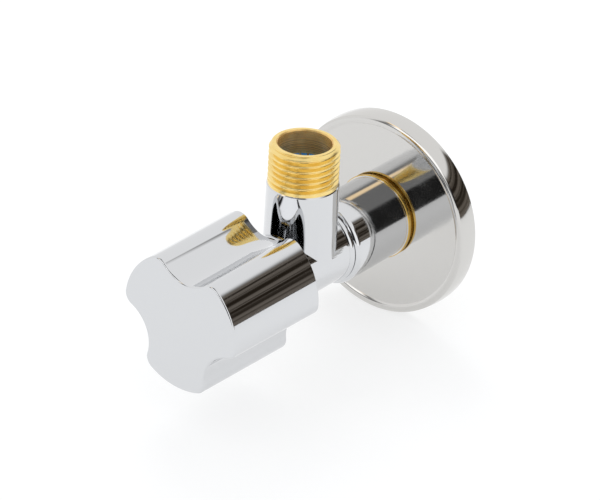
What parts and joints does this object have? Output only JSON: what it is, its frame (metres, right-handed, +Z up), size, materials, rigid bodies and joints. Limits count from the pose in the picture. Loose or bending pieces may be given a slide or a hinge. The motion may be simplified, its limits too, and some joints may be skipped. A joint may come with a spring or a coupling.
{
  "type": "angle valve",
  "caption": "Chrome angle valve with a wall escutcheon, a threaded upright outlet holding a filter, and a three-lobed quarter-turn handle.",
  "frame": {"origin": "on the inlet axis, in the plane of the wall that the escutcheon's rim touches", "axes": "+Y along the inlet axis into the wall, +Z up along the outlet stem, handle on the -Y side"},
  "size_m": [0.0656, 0.1101, 0.0716],
  "materials": {
    "chromed_brass": "polished chrome plate on forged brass, raw brass at the threads and collar",
    "chromed_steel": "polished chrome plate on pressed sheet",
    "chromed_zinc": "polished chrome plate on die-cast metal",
    "raw_brass": "turned",
    "stainless": "plain",
    "black_steel": "blackened",
    "blue_plastic": "moulded",
    "white_plastic": "moulded",
    "white_ceramic": "lapped",
    "black_rubber": "moulded"
  },
  "bodies": {
    "body": {"valve_body": "chromed_brass", "escutcheon": "chromed_steel", "filter_cage": "blue_plastic", "filter_mesh": "stainless", "filter_o_ring": "black_rubber", "bonnet": "raw_brass", "bonnet_o_ring": "black_rubber", "seat_seal": "black_rubber", "seal_support_ring": "stainless", "fixed_disc": "white_ceramic"},
    "handle": {"handle": "chromed_zinc", "set_screw": "black_steel", "spindle": "raw_brass", "moving_disc": "white_ceramic", "slip_washer": "white_plastic", "spindle_o_ring_inner": "black_rubber", "spindle_o_ring_outer": "black_rubber", "circlip": "stainless"}
  },
  "joints": [
    {"name": "handle_turn", "type": "hinge", "parent": "body", "child": "handle", "pos_m": [0, -0.06, 0], "axis": [0, -1, 0], "range_deg": [0, 90]}
  ]
}
